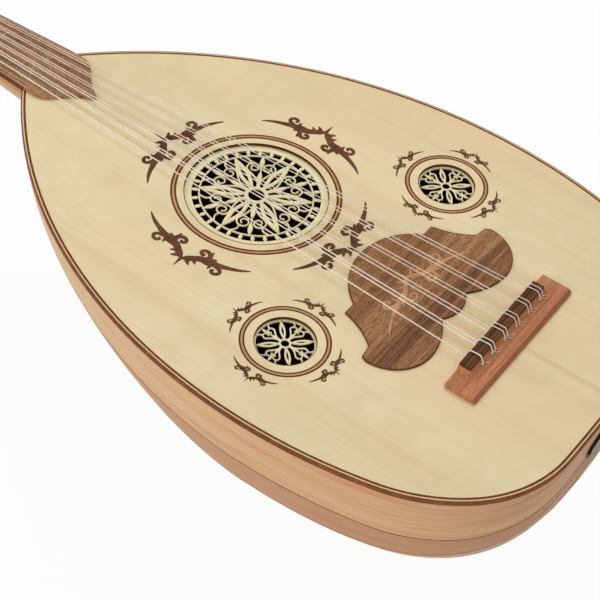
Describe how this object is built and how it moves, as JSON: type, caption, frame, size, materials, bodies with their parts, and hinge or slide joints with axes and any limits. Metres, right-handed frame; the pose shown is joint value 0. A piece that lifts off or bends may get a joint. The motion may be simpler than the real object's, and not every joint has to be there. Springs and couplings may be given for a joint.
{
  "type": "arabic oud",
  "caption": "Short-necked lute with a ribbed bowl, pierced rosettes, shaped pickguard, bent-back pegbox and turning pegs, lying on its back.",
  "frame": {"origin": "centre of the small flat under the middle rib, where the bowl rests on a table", "axes": "+Y from tail to pegbox along the strings, +X to the treble side, +Z square to the soundboard and out of it"},
  "size_m": [0.3528, 0.8361, 0.2042],
  "materials": {
    "spruce": "thin clear satin lacquer over pale straight grain",
    "rib_wood": "satin lacquer over pinkish tan grain",
    "neck_wood": "satin lacquer",
    "dark_wood": "satin",
    "brown_wood": "satin, striped grain",
    "bridge_wood": "satin",
    "bone": "polished",
    "nylon": "smooth, slightly translucent",
    "clasp_wood": "satin"
  },
  "bodies": {
    "body": {"soundboard": "spruce", "edge_binding": "dark_wood", "rosette_main": "spruce", "rosette_bass": "spruce", "rosette_treble": "spruce", "pickguard": "brown_wood", "bridge_base": "bridge_wood", "bridge_cap": "dark_wood", "neck": "neck_wood", "neck_block": "neck_wood", "fingerboard": "brown_wood", "nut": "bone", "pegbox_cheek_bass": "neck_wood", "pegbox_cheek_treble": "neck_wood", "pegbox_back": "neck_wood", "pegbox_end_block": "neck_wood", "tail_block": "neck_wood", "end_clasp": "clasp_wood", "rib_01": "rib_wood", "rib_02": "rib_wood", "rib_03": "rib_wood", "rib_04": "rib_wood", "rib_05": "rib_wood", "rib_06": "rib_wood", "rib_07": "rib_wood", "rib_08": "rib_wood", "rib_09": "rib_wood", "rib_10": "rib_wood", "rib_11": "rib_wood", "brace_1": "spruce", "brace_2": "spruce", "brace_3": "spruce", "brace_4": "spruce", "brace_5": "spruce", "string_01": "nylon", "string_02": "nylon", "string_03": "nylon", "string_04": "nylon", "string_05": "nylon", "string_06": "nylon", "string_07": "nylon", "string_08": "nylon", "string_09": "nylon", "string_10": "nylon", "string_11": "nylon"},
    "peg_01": {"peg_01": "dark_wood"},
    "peg_02": {"peg_02": "dark_wood"},
    "peg_03": {"peg_03": "dark_wood"},
    "peg_04": {"peg_04": "dark_wood"},
    "peg_05": {"peg_05": "dark_wood"},
    "peg_06": {"peg_06": "dark_wood"},
    "peg_07": {"peg_07": "dark_wood"},
    "peg_08": {"peg_08": "dark_wood"},
    "peg_09": {"peg_09": "dark_wood"},
    "peg_10": {"peg_10": "dark_wood"},
    "peg_11": {"peg_11": "dark_wood"}
  },
  "joints": [
    {"name": "peg_01_turn", "type": "hinge", "parent": "body", "child": "peg_01", "pos_m": [0, 0.51843, 0.16269], "axis": [1, 0, 0], "continuous": true},
    {"name": "peg_02_turn", "type": "hinge", "parent": "body", "child": "peg_02", "pos_m": [0, 0.52839, 0.14898], "axis": [1, 0, 0], "continuous": true},
    {"name": "peg_03_turn", "type": "hinge", "parent": "body", "child": "peg_03", "pos_m": [0, 0.53834, 0.13526], "axis": [1, 0, 0], "continuous": true},
    {"name": "peg_04_turn", "type": "hinge", "parent": "body", "child": "peg_04", "pos_m": [0, 0.54829, 0.12155], "axis": [1, 0, 0], "continuous": true},
    {"name": "peg_05_turn", "type": "hinge", "parent": "body", "child": "peg_05", "pos_m": [0, 0.55824, 0.10784], "axis": [1, 0, 0], "continuous": true},
    {"name": "peg_06_turn", "type": "hinge", "parent": "body", "child": "peg_06", "pos_m": [0, 0.56819, 0.09413], "axis": [1, 0, 0], "continuous": true},
    {"name": "peg_07_turn", "type": "hinge", "parent": "body", "child": "peg_07", "pos_m": [0, 0.57814, 0.08041], "axis": [1, 0, 0], "continuous": true},
    {"name": "peg_08_turn", "type": "hinge", "parent": "body", "child": "peg_08", "pos_m": [0, 0.5881, 0.0667], "axis": [1, 0, 0], "continuous": true},
    {"name": "peg_09_turn", "type": "hinge", "parent": "body", "child": "peg_09", "pos_m": [0, 0.59805, 0.05299], "axis": [1, 0, 0], "continuous": true},
    {"name": "peg_10_turn", "type": "hinge", "parent": "body", "child": "peg_10", "pos_m": [0, 0.608, 0.03928], "axis": [1, 0, 0], "continuous": true},
    {"name": "peg_11_turn", "type": "hinge", "parent": "body", "child": "peg_11", "pos_m": [0, 0.61795, 0.02557], "axis": [1, 0, 0], "continuous": true}
  ]
}
